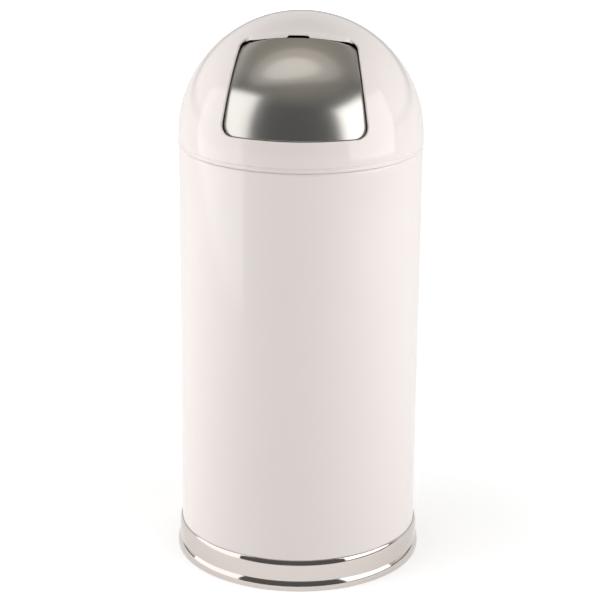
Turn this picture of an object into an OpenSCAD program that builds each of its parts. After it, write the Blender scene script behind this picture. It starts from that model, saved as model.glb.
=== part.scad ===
// Dome top waste receptacle: a rolled steel can with a chrome base ring, a lift-off
// dome with a sprung push door, and a galvanised liner that lifts out by its bail.
// Millimetres, +Z up, origin on the floor under the middle, door towards -Y.

/* [Can] */
// Outside diameter of the can
body_d = 390; // [360:5:430]
// Height of the can's rim above the floor
body_h = 693; // [600:1:800]
// Sheet thickness of the can
body_t = 1.2; // [0.8:0.1:2]
// Radius of the rolled bead at the can's rim
rim_bead_r = 3; // [2.5:0.1:4]
// Height of the floor pan above the floor
floor_h = 25; // [20:1:40]
// Depth of the floor pan's turned-down edge
pan_edge_h = 14; // [8:1:17]
// Drop of the pressed dish in the floor pan
dish_drop = 3; // [1:0.5:6]
// Width of the pan's flat shelf round the dish
shelf_w = 44; // [25:1:60]
// Width of the lap seam up the back of the can
seam_w = 16; // [8:1:30]
// How far the lap seam stands proud
seam_t = 0.9; // [0.5:0.1:1.2]

/* [Base ring] */
// Height of the chrome base ring
ring_h = 52; // [40:1:70]
// Sheet thickness of the base ring
ring_t = 1.2; // [0.8:0.1:1.6]
// How far the ring's flat band stands out from the can
band_out = 4; // [3:0.1:6]
// Radius of the small bead along the ring's upper edge
top_bead_r = 4.2; // [4:0.1:5]
// Radius of the large bead along the ring's foot
foot_bead_r = 8.6; // [7:0.1:10]
// How far the large bead stands out from the flat band
foot_bead_out = 3.8; // [2:0.1:5]
// Width of the flat foot that is turned in under the can
foot_w = 11; // [8:1:20]

/* [Dome] */
// How far the dome's skirt stands out from the can
dome_out = 1; // [0.5:0.1:2]
// Sheet thickness of the dome
dome_t = 1.5; // [1:0.1:2]
// Height of the straight skirt under the half sphere
skirt_h = 14; // [12:0.5:25]
// Radius of the hem bead along the dome's lower edge
hem_r = 2.9; // [2.5:0.1:3.5]
// Height of the groove rolled over the hem
groove_h = 1.2; // [0.8:0.1:2]
// Depth of the groove rolled over the hem
groove_depth = 0.8; // [0.4:0.1:0.9]
// Sheet thickness of the locating collar
collar_t = 1.2; // [0.8:0.1:1.6]
// How far the locating collar reaches down into the can
collar_drop = 19; // [12:1:30]
// Height of the collar's upper leg, spot-welded to the skirt
collar_weld_h = 9; // [6:1:14]

/* [Door opening] */
// Angle at which the opening is punched, above level
punch_tilt = 35; // [30:1:40]
// Half width of the opening level with the dome's centre
open_half = 103.7; // [90:0.1:108]
// Lean of the opening's sides
side_lean = 8.7; // [5:0.1:12]
// Top of the opening over the dome's centre
open_top = 99; // [92:0.5:104]
// Bottom of the opening below the dome's centre
open_bottom = 81.5; // [75:0.5:86]
// Radius of the arched top edge
top_arc_r = 420; // [350:5:600]
// Radius of the arched bottom edge
bottom_arc_r = 318; // [290:1:450]
// Radius of the upper corners
top_corner_r = 16; // [10:1:22]
// Radius of the lower corners
bottom_corner_r = 22; // [12:1:30]
// Thickness of the turned-in flange round the opening
flange_t = 1.5; // [1:0.1:2]
// Depth of the turned-in flange, from the dome's outside
flange_depth = 5; // [4:0.5:6]

/* [Door] */
// Gap between the door and the opening
door_gap = 3; // [2:0.1:4]
// How far the door's top edge lies under the opening's top
door_top_drop = 7.5; // [6.5:0.1:9]
// Sheet thickness of the door
door_t = 1.2; // [0.8:0.1:1.6]
// Radius that the door is bowed to
door_r = 175; // [170:1:182]
// How far the middle of the door lies inside the dome's surface
door_recess = 2; // [1:0.1:3]
// Depth of the door's edges, turned back
door_return = 5; // [3:0.5:5.5]

/* [Hinge] */
// Diameter of the hinge rod
rod_d = 5; // [4:0.1:6]
// Height of the rod's axis below the top of the opening
hinge_drop = 1.5; // [0:0.1:2.5]
// Depth of the rod's axis behind the dome's inner surface
hinge_inset = 16.3; // [15:0.1:19]
// Width of the spring's gap between the two hinge leaves
spring_gap = 37; // [33:0.5:42]
// Length of each hinge knuckle
knuckle_len = 25.5; // [18:0.5:28]
// Sheet thickness of the hinge leaves
leaf_t = 1.3; // [1:0.1:1.6]
// Height of the leaf's pad on the door's back
pad_h = 26; // [15:1:40]
// Slope of the leaf between knuckle and door
leaf_slope = 40; // [36:1:44]
// Thickness of the spacer washers on the rod
washer_t = 1.8; // [1:0.1:2.5]
// Thickness of the hinge brackets
bracket_t = 2.5; // [1.5:0.1:3]
// Length of the bracket's weld tab on the dome
tab_len = 14; // [8:1:18]
// Height of the bracket's weld tab
tab_h = 14; // [10:0.5:18]
// Height of the weld tab above the rod's axis
tab_rise = 8; // [7:0.5:12]
// Depth of the bracket's arm where it meets the dome
arm_depth = 14; // [10:0.5:18]
// Thickness of the push nuts on the rod's ends
nut_t = 1.6; // [1:0.1:2]

/* [Door spring] */
// Wire diameter of the door spring
spring_wire_d = 1.6; // [1.2:0.1:1.8]
// Mean radius of the door spring's coil
coil_r = 5.2; // [4.8:0.1:5.6]
// Whole turns of the door spring
coil_turns = 9; // [6:1:10]
// Length of the coil along the rod
coil_len = 27; // [25:0.5:30]

/* [Door stop] */
// Sheet thickness of the stop lip
lip_t = 1.2; // [0.8:0.1:1.6]
// Half angle that the stop lip spans across the door
lip_half_angle = 26; // [20:1:28]
// How far the lip reaches below the door's bottom edge
lip_reach = 13; // [9:0.5:16]
// Height of the lip's fold above the door's bottom edge
lip_fold_h = 6.5; // [5:0.5:10]
// Height of the lip's slope between its fold and its weld
lip_slope_h = 10; // [8:0.5:14]
// Height of the lip's welded part
lip_weld_h = 12; // [8:0.5:16]
// Diameter of the rubber bumpers
bumper_d = 10; // [6:0.5:12]
// Distance of each bumper from the middle
bumper_x = 45; // [30:1:52]
// Thickness of the bumpers at the middle of the door
bumper_t = 3; // [2:0.1:4]

/* [Liner] */
// Room between the liner's wall and the can's wall
liner_room = 17.8; // [17:0.1:24]
// Height of the liner
liner_h = 630; // [400:1:640]
// Sheet thickness of the liner
liner_t = 1; // [0.6:0.1:1.5]
// Radius of the rolled bead at the liner's rim
liner_bead_r = 3.5; // [3:0.1:4.5]
// Height of the liner's bottom above its foot
liner_foot_h = 7; // [5:0.5:15]
// Radius of the stiffening ribs rolled into the liner
rib_r = 2.4; // [1.8:0.1:3]
// Number of stiffening ribs
rib_count = 2; // [1:1:4]
// Width of the bail ears
ear_w = 24; // [18:1:30]
// Thickness of the bail ears
ear_t = 1.5; // [1:0.1:2]
// How far the ears reach down the liner's wall
ear_drop = 40; // [38:1:60]
// Diameter of the ear rivets
rivet_d = 4.8; // [3:0.1:6]
// Distance between the two rivets of an ear
rivet_pitch = 14; // [12:0.5:18]
// Diameter of the bail wire
bail_d = 5; // [4:0.1:6]

/* [Hidden] */
$fn = 128;

// Clearances
snug = 0.05;       // between pieces fixed to each other along a curve
strap_gap = 0.2;   // between a riveted strap and the curved wall behind it
seat = 0.3;        // between pieces that rest on each other and come apart
turn = 0.08;       // between the rod and what turns on it
free = 0.4;        // between the spring or a stop and what it bears on
lap = 0.4;         // how deep two shapes of one piece run into each other

// Finishes
enamel = "whitesmoke";
chrome = "gainsboro";
stainless = "darkgray";
zinc = "lightsteelblue";
black = "dimgray";
nylon = "ivory";

// Can
body_r = body_d / 2;
body_in_r = body_r - body_t;
ring_fit_r = body_r + snug;
body_foot_z = ring_t + snug;
seam_foot_gap = 4;
dish_r = body_in_r - shelf_w;
dish_slope_w = 6;

// Base ring
band_r = body_r + band_out;
foot_bead_cx = band_r + foot_bead_out - foot_bead_r;
foot_bead_cz = foot_bead_r + 0.7;

// Dome
dome_r = body_r + dome_out;
dome_in_r = dome_r - dome_t;
skirt_z = body_h + seat;
dome_z = skirt_z + skirt_h;
hem_proud = 0.5;
hem_cx = dome_r + hem_proud - hem_r;
groove_z = skirt_z + 2 * hem_r;
collar_r = body_r - 2 * rim_bead_r - free;
collar_top_z = groove_z + groove_h + collar_t;

// Opening, in the punch's own frame: u runs outwards, w upwards, x to the right
open_low = -open_bottom;
top_arc_cz = open_top - top_arc_r;
bottom_arc_cz = open_low + bottom_arc_r;
side_offset = open_half * cos(side_lean);
flange_end_r = dome_r - flange_depth;
corner_ease = 0.02;
edge_step = 0.02;

// Door
door_cu = dome_r - door_recess - door_r;
door_in_r = door_r - door_t;
door_top_w = open_top - door_top_drop;
return_top_drop = top_corner_r + 4;

// Hinge
rod_r = rod_d / 2;
hinge_w = open_top - hinge_drop;
hinge_u = sqrt(pow(dome_in_r, 2) - pow(hinge_w, 2)) - hinge_inset;
knuckle_in_r = rod_r + turn;
knuckle_r = knuckle_in_r + leaf_t;
knuckle_x0 = spring_gap / 2;
knuckle_x1 = knuckle_x0 + knuckle_len;
washer_x = knuckle_x1 + turn;
bracket_x = washer_x + washer_t + turn;
bracket_eye_r = rod_r + 3;
nut_x = bracket_x + bracket_t + snug;
nut_r = rod_r + 2.2;
rod_end_x = nut_x + nut_t + 1;
rod_chamfer = 0.6;
pad_top_drop = 10;

// Door spring
wire_r = spring_wire_d / 2;
wire_sides = 6;
rings_per_turn = 8;
door_leg_drop = 31.5;
dome_leg_rise = 44;

// Stop lip, turned about an upright axis through the door's own centre
lip_fold_w = open_low + door_gap + lip_fold_h;
lip_weld_w = lip_fold_w + lip_slope_h;
lip_top_w = lip_weld_w + lip_weld_h;
lip_low_w = open_low + door_gap - lip_reach;
lip_leg_r = flange_end_radius(0) - bumper_t - free;
bumper_top_w = open_edge_w(bumper_x - bumper_d / 2) + door_gap - seat;
bumper_w = bumper_top_w - bumper_d / 2;

// Liner
liner_z = floor_h + seat;
liner_r = body_in_r - liner_room;
liner_in_r = liner_r - liner_t;
liner_top_z = liner_z + liner_h;
liner_bead_cx = liner_in_r + liner_bead_r;
liner_bead_z = liner_top_z - liner_bead_r;
bail_wire_r = bail_d / 2;
bail_z = liner_top_z + seat + bail_wire_r;
bail_r = liner_bead_cx;
ear_out_r = liner_in_r - strap_gap;
ear_in_r = ear_out_r - ear_t;
ear_eye_r = bail_wire_r + seat + snug;
rivet_r = rivet_d / 2;
rivet_head_r = rivet_r * 1.9;
rivet_head_h = 1.2;
rivet_top_z = liner_bead_z - liner_bead_r - rivet_head_r - 2;
rivet_zs = [rivet_top_z, rivet_top_z - rivet_pitch];

// Opening's lower edge at x from the middle, and how far its flange's end lies from the
// upright axis through the door's centre
function open_edge_w(x) = open_low + bottom_arc_r - sqrt(pow(bottom_arc_r, 2) - x * x);
function flange_end_radius(x) =
    let (w = open_edge_w(x) - flange_t, u = sqrt(pow(flange_end_r, 2) - w * w - x * x) - door_cu)
    sqrt(x * x + u * u);

// ---- Helpers -------------------------------------------------------------

// The frame of the opening's punch: -Y runs outwards along it, +Z up across it
module punch_frame() {
    translate([0, 0, dome_z]) rotate([-punch_tilt, 0, 0]) children();
}

// The same frame, moved to the hinge rod's axis
module at_hinge() {
    punch_frame() translate([0, -hinge_u, hinge_w]) children();
}

// The same frame, moved to the centre that the door is bowed about
module at_door_centre() {
    punch_frame() translate([0, -door_cu, 0]) children();
}

module x_rod(r, x0, x1) {
    translate([x0, 0, 0]) rotate([0, 90, 0]) cylinder(r = r, h = x1 - x0);
}

module x_tube(r_out, r_in, x0, x1) {
    difference() {
        x_rod(r_out, x0, x1);
        x_rod(r_in, x0 - 1, x1 + 1);
    }
}

module sphere_wall(r_out, r_in) {
    difference() {
        sphere(r = r_out);
        sphere(r = r_in);
    }
}

// Ring of revolution with a straight wall between two radii and two heights
module band(r_in, r_out, z0, z1) {
    translate([r_in, z0]) square([r_out - r_in, z1 - z0]);
}

// Centre of a corner circle that touches a leaning side and an arched edge
function corner_centre(r, arc_r, arc_c, up) =
    let (
        n = [cos(side_lean), sin(side_lean)],
        d = [-sin(side_lean), cos(side_lean)],
        p = (side_offset - r) * n - [0, arc_c],
        along = p * d,
        root = sqrt(along * along - p * p + pow(arc_r - r, 2))
    )
    (side_offset - r) * n + (-along + up * root) * d;

// What a rounded corner takes away, beyond a circle that just crosses both edges
module corner_waste(c, arc_c, r) {
    n = [cos(side_lean), sin(side_lean)];
    m = (c - [0, arc_c]) / norm(c - [0, arc_c]);
    far = 1.6 * r;
    difference() {
        polygon([c, c + far * n, c + 1.5 * far * (n + m) / norm(n + m), c + far * m]);
        translate(c) circle(r = r + corner_ease);
    }
}

// Outline of the opening, drawn in by inset on all sides
module opening_outline(inset = 0) {
    top_c = corner_centre(top_corner_r, top_arc_r, top_arc_cz, 1);
    bottom_c = corner_centre(bottom_corner_r, bottom_arc_r, bottom_arc_cz, -1);
    reach = 2 * open_top;
    side_x = (side_offset - inset) / cos(side_lean);
    difference() {
        intersection() {
            polygon([[-side_x - reach * tan(side_lean), -reach], [side_x + reach * tan(side_lean), -reach],
                [side_x - reach * tan(side_lean), reach], [-side_x + reach * tan(side_lean), reach]]);
            translate([0, top_arc_cz]) circle(r = top_arc_r - inset);
            translate([0, bottom_arc_cz]) circle(r = bottom_arc_r - inset);
        }
        for (side = [0, 1]) mirror([side, 0]) {
            corner_waste(top_c, top_arc_cz, top_corner_r - inset);
            corner_waste(bottom_c, bottom_arc_cz, bottom_corner_r - inset);
        }
    }
}

// The outline run outwards from the dome's centre, or from over behind it
module punch(inset = 0, over = 0) {
    translate([0, over, 0]) rotate([90, 0, 0]) linear_extrude(height = dome_r + 10 + 2 * over)
        opening_outline(inset);
}

// ---- Can -----------------------------------------------------------------

module body_shell() {
    bead_z = body_h - rim_bead_r;
    seam_angle = seam_w / body_r * 180 / PI;
    color(enamel) {
        rotate_extrude() union() {
            band(body_in_r, body_r, body_foot_z, bead_z);
            translate([body_r - rim_bead_r, bead_z]) circle(r = rim_bead_r, $fn = 48);
        }
        rotate([0, 0, 90 - seam_angle / 2]) rotate_extrude(angle = seam_angle)
            band(body_r - lap, body_r + seam_t, ring_h + seam_foot_gap, bead_z - seam_foot_gap);
    }
}

// Pressed pan: turned-down edge, flat shelf for the liner's foot, shallow dish
module floor_pan() {
    pan_r = body_in_r - 2 * snug;
    low = floor_h - dish_drop;
    t = body_t;
    color(enamel) rotate_extrude() polygon([
        [0, low], [dish_r - dish_slope_w, low], [dish_r, floor_h], [pan_r, floor_h],
        [pan_r, floor_h - pan_edge_h], [pan_r - t, floor_h - pan_edge_h],
        [pan_r - t, floor_h - t], [dish_r, floor_h - t], [dish_r - dish_slope_w, low - t], [0, low - t]]);
}

// Chrome ring: small bead, flat band, large bead, and a foot turned in under the can
module base_ring() {
    bead_z = ring_h - top_bead_r;
    color(chrome) rotate_extrude() difference() {
        intersection() {
            union() {
                band(ring_fit_r - foot_w, band_r, 0, bead_z);
                translate([band_r - top_bead_r + lap, bead_z]) circle(r = top_bead_r, $fn = 48);
                translate([foot_bead_cx, foot_bead_cz]) circle(r = foot_bead_r, $fn = 64);
            }
            band(0, 2 * band_r, 0, ring_h);
        }
        band(0, ring_fit_r, ring_t, ring_h + 1);
        intersection() {
            union() {
                band(ring_fit_r - 1, band_r - ring_t, ring_t, bead_z - top_bead_r);
                translate([foot_bead_cx, foot_bead_cz]) circle(r = foot_bead_r - ring_t, $fn = 64);
            }
            band(0, 2 * band_r, ring_t, ring_h);
        }
    }
}

// ---- Dome ----------------------------------------------------------------

// Half sphere, straight skirt, rolled groove and hem bead, as one profile
module dome_profile() {
    difference() {
        union() {
            translate([0, dome_z]) intersection() {
                difference() {
                    circle(r = dome_r, $fn = 256);
                    circle(r = dome_in_r, $fn = 256);
                }
                square(dome_r + 1);
            }
            band(dome_in_r, dome_r, skirt_z + hem_r, dome_z);
            translate([hem_cx, skirt_z + hem_r]) circle(r = hem_r, $fn = 48);
        }
        band(dome_r - groove_depth, dome_r + 1, groove_z, groove_z + groove_h);
    }
}

// The sheet round the opening, turned in along the punch
module opening_flange(grow = 0) {
    intersection() {
        difference() {
            punch(-flange_t - grow);
            punch(grow, over = 1);
        }
        sphere_wall(dome_r - lap, flange_end_r - grow);
    }
}

module dome_shell() {
    color(enamel) union() {
        difference() {
            rotate_extrude() dome_profile();
            punch_frame() punch(-edge_step);
        }
        punch_frame() opening_flange();
    }
}

// Collar: upper leg inside the skirt, a shoulder, and a lower leg inside the can's rim
module dome_collar() {
    leg_r = dome_in_r - snug;
    color(enamel) rotate_extrude() union() {
        band(leg_r - collar_t, leg_r, collar_top_z - collar_t, collar_top_z - collar_t + collar_weld_h);
        band(collar_r - collar_t, leg_r, collar_top_z - collar_t, collar_top_z);
        band(collar_r - collar_t, collar_r, body_h - collar_drop, collar_top_z);
    }
}

// Bracket: an eye round the rod, an arm, and a tab welded under the dome
module hinge_bracket() {
    tab_low = hinge_w + tab_rise;
    tab_high = tab_low + tab_h;
    arm_back = hinge_u - bracket_eye_r;
    color(enamel) difference() {
        union() {
            at_hinge() x_rod(bracket_eye_r, bracket_x, bracket_x + bracket_t);
            punch_frame() intersection() {
                translate([bracket_x, 0, 0]) rotate([90, 0, 90]) linear_extrude(height = bracket_t)
                    polygon([[-arm_back, hinge_w], [-hinge_u - bracket_eye_r, hinge_w],
                        [-dome_in_r, tab_low], [-dome_in_r, tab_high], [-arm_back + arm_depth, tab_high]]);
                sphere(r = dome_in_r - dome_t / 2);
            }
            punch_frame() intersection() {
                sphere_wall(dome_in_r - snug, dome_in_r - snug - bracket_t / 2);
                translate([bracket_x, -dome_r, tab_low]) cube([tab_len, dome_r, tab_high - tab_low]);
            }
        }
        at_hinge() x_rod(rod_r + snug, bracket_x - 1, bracket_x + bracket_t + 1);
        punch_frame() opening_flange(grow = seat);
    }
}

module hinge_bracket_left() { mirror([1, 0, 0]) hinge_bracket(); }

module hinge_bracket_right() { hinge_bracket(); }

module hinge_rod() {
    color(stainless) at_hinge() {
        x_rod(rod_r, -rod_end_x + rod_chamfer, rod_end_x - rod_chamfer);
        for (side = [0, 1]) mirror([side, 0, 0])
            translate([rod_end_x - rod_chamfer, 0, 0]) rotate([0, 90, 0])
                cylinder(r1 = rod_r, r2 = rod_r - rod_chamfer, h = rod_chamfer);
    }
}

// Push nuts that hold the rod in its brackets
module rod_push_nuts() {
    color(zinc) at_hinge() for (side = [0, 1]) mirror([side, 0, 0])
        x_tube(nut_r, rod_r + snug, nut_x, nut_x + nut_t);
}

// Nylon washers between the knuckles and the brackets
module rod_washers() {
    color(nylon) at_hinge() for (side = [0, 1]) mirror([side, 0, 0])
        x_tube(rod_r + 2, rod_r + turn, washer_x, washer_x + washer_t);
}

// ---- Door spring ---------------------------------------------------------

// Leg tips, as (u, w) from the rod's axis: one on the door's back, one under the dome
function door_tip() =
    let (w = hinge_w - door_leg_drop, r = door_in_r - wire_r - free, x = coil_len / 2)
    [door_cu + sqrt(r * r - w * w - x * x) - hinge_u, -door_leg_drop];
function dome_tip() =
    let (w = hinge_w + dome_leg_rise, r = dome_in_r - wire_r - free, x = coil_len / 2)
    [sqrt(r * r - w * w - x * x) - hinge_u, dome_leg_rise];

// Where a straight leg from a tip touches the coil, as an angle
function touch_angle(tip, side) = atan2(tip[1], tip[0]) + side * acos(coil_r / norm(tip));

coil_start = touch_angle(door_tip(), 1);
coil_end = touch_angle(dome_tip(), -1);
coil_sweep = ((coil_end - coil_start) % 360 + 360) % 360 + 360 * coil_turns;
coil_steps = ceil(coil_sweep / 360 * rings_per_turn);

function coil_angle(i) = coil_start + coil_sweep * i / coil_steps;
function coil_x(i) = coil_len * (0.5 - i / coil_steps);
function coil_point(i) = [coil_x(i), -coil_r * cos(coil_angle(i)), coil_r * sin(coil_angle(i))];
function coil_out(i) = [0, -cos(coil_angle(i)), sin(coil_angle(i))];

// Centre line of the wire, and at each point the direction away from the rod
wire_points = concat(
    [[coil_x(0), -door_tip()[0], door_tip()[1]]],
    [for (i = [0 : coil_steps]) coil_point(i)],
    [[coil_x(coil_steps), -dome_tip()[0], dome_tip()[1]]]);
wire_outs = concat([coil_out(0)], [for (i = [0 : coil_steps]) coil_out(i)], [coil_out(coil_steps)]);
wire_count = len(wire_points);

function unit(v) = v / norm(v);
function wire_tangent(i) = unit(wire_points[min(i + 1, wire_count - 1)] - wire_points[max(i - 1, 0)]);

// One ring of the wire, square to its run
function wire_ring(i) =
    let (t = wire_tangent(i), b = unit(cross(t, wire_outs[i])), n = cross(b, t))
    [for (k = [0 : wire_sides - 1])
        wire_points[i] + wire_r * (cos(360 * k / wire_sides) * n + sin(360 * k / wire_sides) * b)];

function ring_face(i, k) =
    let (a = i * wire_sides + k, b = i * wire_sides + (k + 1) % wire_sides)
    [[a, a + wire_sides, b], [b, a + wire_sides, b + wire_sides]];

// Least gap between one turn and the next, measured on the wire's own points
turn_gap = min([for (i = [1 : wire_count - 2 - rings_per_turn])
    for (j = [i + rings_per_turn - 2 : min(i + rings_per_turn + 2, wire_count - 2)])
        norm(wire_points[j] - wire_points[i])]) - spring_wire_d;
echo(least_gap_between_spring_turns = turn_gap);

module door_spring() {
    last = wire_count - 1;
    color(stainless) at_hinge() polyhedron(
        points = [for (i = [0 : last]) for (p = wire_ring(i)) p],
        faces = concat(
            [for (i = [0 : last - 1]) for (k = [0 : wire_sides - 1]) for (f = ring_face(i, k)) f],
            [for (k = [1 : wire_sides - 2]) [0, k, k + 1]],
            [for (k = [1 : wire_sides - 2])
                [last * wire_sides, last * wire_sides + k + 1, last * wire_sides + k]]));
}

// ---- Door ----------------------------------------------------------------

// Everything below top_w, in the punch's frame
module below(top_w) {
    translate([-dome_r, -2 * dome_r, -dome_r]) cube([2 * dome_r, 2 * dome_r, dome_r + top_w]);
}

// Door: a bowed panel with its sides and bottom turned back
module push_door() {
    color(stainless) punch_frame() union() {
        intersection() {
            punch(door_gap);
            translate([0, -door_cu, 0]) sphere_wall(door_r, door_in_r);
            below(door_top_w);
        }
        intersection() {
            difference() {
                punch(door_gap + edge_step);
                punch(door_gap + door_t, over = 1);
            }
            translate([0, -door_cu, 0]) sphere_wall(door_r - lap, door_r - door_return);
            below(door_top_w - return_top_drop);
        }
    }
}

// Leaf, from x0 on: a knuckle curled round the rod, a web and a pad on the door's back
module hinge_leaf(x0) {
    web_len = 50;
    pad_side = 2;
    pad_out_r = door_in_r - snug;
    pad_top_w = door_top_w - pad_top_drop;
    color(stainless) union() {
        intersection() {
            at_hinge() translate([x0, 0, 0]) rotate([90, 0, 90]) linear_extrude(height = knuckle_len)
                difference() {
                    union() {
                        circle(r = knuckle_r, $fn = 64);
                        rotate(leaf_slope) translate([-web_len, -knuckle_r + turn / 2])
                            square([web_len, leaf_t - turn]);
                    }
                    circle(r = knuckle_in_r, $fn = 64);
                }
            at_door_centre() sphere(r = pad_out_r - leaf_t / 2);
        }
        intersection() {
            at_door_centre() sphere_wall(pad_out_r, pad_out_r - leaf_t);
            punch_frame() translate([x0 - pad_side, -dome_r, pad_top_w - pad_h])
                cube([knuckle_len + 2 * pad_side, dome_r, pad_h]);
        }
    }
}

module hinge_leaf_left() { hinge_leaf(-knuckle_x1); }

module hinge_leaf_right() { hinge_leaf(knuckle_x0); }

// Z-shaped strip on the door's back; its low leg lies behind the opening's flange
module door_stop_lip() {
    back_r = door_in_r - 2 * snug;
    top_r = sqrt(back_r * back_r - lip_top_w * lip_top_w);
    weld_r = sqrt(back_r * back_r - lip_weld_w * lip_weld_w);
    color(stainless) at_door_centre() rotate([0, 0, -90 - lip_half_angle])
        rotate_extrude(angle = 2 * lip_half_angle) polygon([
            [top_r, lip_top_w], [weld_r, lip_weld_w], [lip_leg_r, lip_fold_w], [lip_leg_r, lip_low_w],
            [lip_leg_r - lip_t, lip_low_w], [lip_leg_r - lip_t, lip_fold_w + lip_t / 2],
            [weld_r - lip_t, lip_weld_w + lip_t / 2], [top_r - lip_t, lip_top_w]]);
}

// Rubber button on the lip, which meets the end of the opening's flange
module bumper() {
    foot_r = lip_leg_r + snug;
    bow = pow(bumper_d, 2) / (8 * lip_leg_r);
    face_r = flange_end_radius(bumper_x - bumper_d / 2) - bow - free;
    swing = asin(bumper_x / face_r);
    color(black) at_door_centre() translate([0, 0, bumper_w]) rotate([0, 0, -90 + swing])
        x_rod(bumper_d / 2, foot_r, face_r);
}

module bumper_left() { mirror([1, 0, 0]) bumper(); }

module bumper_right() { bumper(); }

// ---- Liner ---------------------------------------------------------------

function rib_z(i) = liner_z + liner_h * (i + 1) / (rib_count + 1);

module rivet_holes(r) {
    for (z = rivet_zs) translate([0, 0, z]) x_rod(r, 0, liner_r + 5);
}

module liner_shell() {
    seam_angle = seam_w / liner_r * 180 / PI;
    rib_cx = liner_r - liner_t / 4;
    color(zinc) difference() {
        union() {
            rotate_extrude() difference() {
                union() {
                    band(liner_in_r, liner_r, liner_z, liner_bead_z);
                    translate([liner_bead_cx, liner_bead_z]) circle(r = liner_bead_r, $fn = 48);
                    for (i = [0 : rib_count - 1]) translate([rib_cx, rib_z(i)]) circle(r = rib_r, $fn = 48);
                }
                for (i = [0 : rib_count - 1])
                    translate([rib_cx, rib_z(i)]) circle(r = rib_r - liner_t, $fn = 48);
                band(0, liner_in_r, liner_z, liner_bead_z - liner_bead_r - 1);
            }
            rotate([0, 0, 90 - seam_angle / 2]) rotate_extrude(angle = seam_angle)
                for (i = [0 : rib_count]) band(liner_r - lap, liner_r + seam_t,
                    i == 0 ? liner_z + 2 : rib_z(i - 1) + rib_r + 1,
                    i == rib_count ? liner_bead_z - liner_bead_r : rib_z(i) - rib_r - 1);
        }
        for (side = [0, 1]) mirror([side, 0, 0]) rivet_holes(rivet_r + snug);
    }
}

module liner_bottom() {
    r = liner_in_r - snug;
    top = liner_z + liner_foot_h;
    color(zinc) rotate_extrude() union() {
        band(0, r, top - liner_t, top);
        band(r - liner_t, r, liner_z, top);
    }
}

// Ear: a curved strap inside the wall, with an eye for the bail above the rim
module liner_ear() {
    color(zinc) difference() {
        intersection() {
            rotate([0, 0, -20]) rotate_extrude(angle = 40)
                band(ear_in_r, ear_out_r, bail_z - ear_drop, bail_z + ear_w);
            rotate([90, 0, 90]) linear_extrude(height = liner_r) union() {
                translate([0, bail_z]) circle(r = ear_w / 2, $fn = 64);
                translate([-ear_w / 2, bail_z - ear_drop]) square([ear_w, ear_drop]);
            }
        }
        translate([0, 0, bail_z]) x_rod(ear_eye_r, 0, liner_r + 5);
        rivet_holes(rivet_r + snug);
    }
}

module liner_ear_left() { mirror([1, 0, 0]) liner_ear(); }

module liner_ear_right() { liner_ear(); }

// Rivets through ear and wall, with a flat head on each side
module ear_rivets() {
    inner_x = sqrt(pow(ear_in_r, 2) - pow(rivet_head_r, 2)) - snug;
    outer_x = liner_r + snug;
    color(zinc) for (side = [0, 1], z = rivet_zs) mirror([side, 0, 0]) translate([0, 0, z]) {
        x_rod(rivet_r, inner_x - rivet_head_h / 2, outer_x + rivet_head_h / 2);
        x_rod(rivet_head_r, inner_x - rivet_head_h, inner_x);
        x_rod(rivet_head_r, outer_x, outer_x + rivet_head_h);
    }
}

// Bail: half a circle of wire, laid back on the rim, its ends turned in through the ears
module liner_bail() {
    hook_x = ear_in_r - 3;
    head_r = ear_eye_r + 1.5;
    color(zinc) translate([0, 0, bail_z]) union() {
        rotate_extrude(angle = 180) translate([bail_r, 0]) circle(r = bail_wire_r, $fn = 48);
        for (side = [0, 1]) mirror([side, 0, 0]) {
            translate([bail_r, 0, 0]) sphere(r = bail_wire_r, $fn = 48);
            x_rod(bail_wire_r, hook_x - 1, bail_r);
            x_rod(head_r, hook_x - 1, hook_x + 1);
        }
    }
}

body_shell();
floor_pan();
base_ring();
dome_shell();
dome_collar();
hinge_bracket_left();
hinge_bracket_right();
hinge_rod();
rod_push_nuts();
door_spring();
push_door();
hinge_leaf_left();
hinge_leaf_right();
rod_washers();
door_stop_lip();
bumper_left();
bumper_right();
liner_shell();
liner_bottom();
liner_ear_left();
liner_ear_right();
ear_rivets();
liner_bail();
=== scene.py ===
# %% [markdown]
# # Dome top waste receptacle
# A round white steel can stands in a chrome ring. A white half dome sits on it, with a
# brushed push door sprung shut, and a galvanised liner with a bail stands out of sight
# inside. The CAD model has already fixed every size and every joint. This lesson gives
# that model its looks, piece by piece, in metres, in the same place as the CAD.

# %% Load the fixed frame
import math
import bpy
import bmesh
import numpy as np
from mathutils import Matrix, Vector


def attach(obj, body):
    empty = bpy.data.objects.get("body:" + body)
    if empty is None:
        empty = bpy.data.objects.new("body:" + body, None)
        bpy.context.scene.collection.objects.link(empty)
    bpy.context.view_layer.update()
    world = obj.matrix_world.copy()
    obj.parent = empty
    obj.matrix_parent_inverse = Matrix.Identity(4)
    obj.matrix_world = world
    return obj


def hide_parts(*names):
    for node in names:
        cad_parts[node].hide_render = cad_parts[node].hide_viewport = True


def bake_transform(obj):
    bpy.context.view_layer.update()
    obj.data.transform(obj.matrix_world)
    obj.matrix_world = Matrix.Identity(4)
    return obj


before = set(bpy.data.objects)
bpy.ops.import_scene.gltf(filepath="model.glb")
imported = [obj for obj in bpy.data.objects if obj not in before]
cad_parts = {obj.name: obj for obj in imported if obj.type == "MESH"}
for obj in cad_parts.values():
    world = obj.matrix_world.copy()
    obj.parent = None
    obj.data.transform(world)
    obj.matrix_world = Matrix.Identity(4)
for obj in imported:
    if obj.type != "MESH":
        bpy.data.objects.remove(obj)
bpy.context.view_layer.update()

# %% [markdown]
# ## Small tools
# Sizes are easier to read in millimetres, as on a drawing, so one helper turns points to
# metres and makes a mesh of them. Every mesh is cleaned in the same way: it is opened for
# editing, a few steps run on it, and it is shaded smooth up to its real edges. Sheet
# metal never has a knife edge, so another helper rounds the corners of a section before
# it is turned into a shape.

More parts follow.
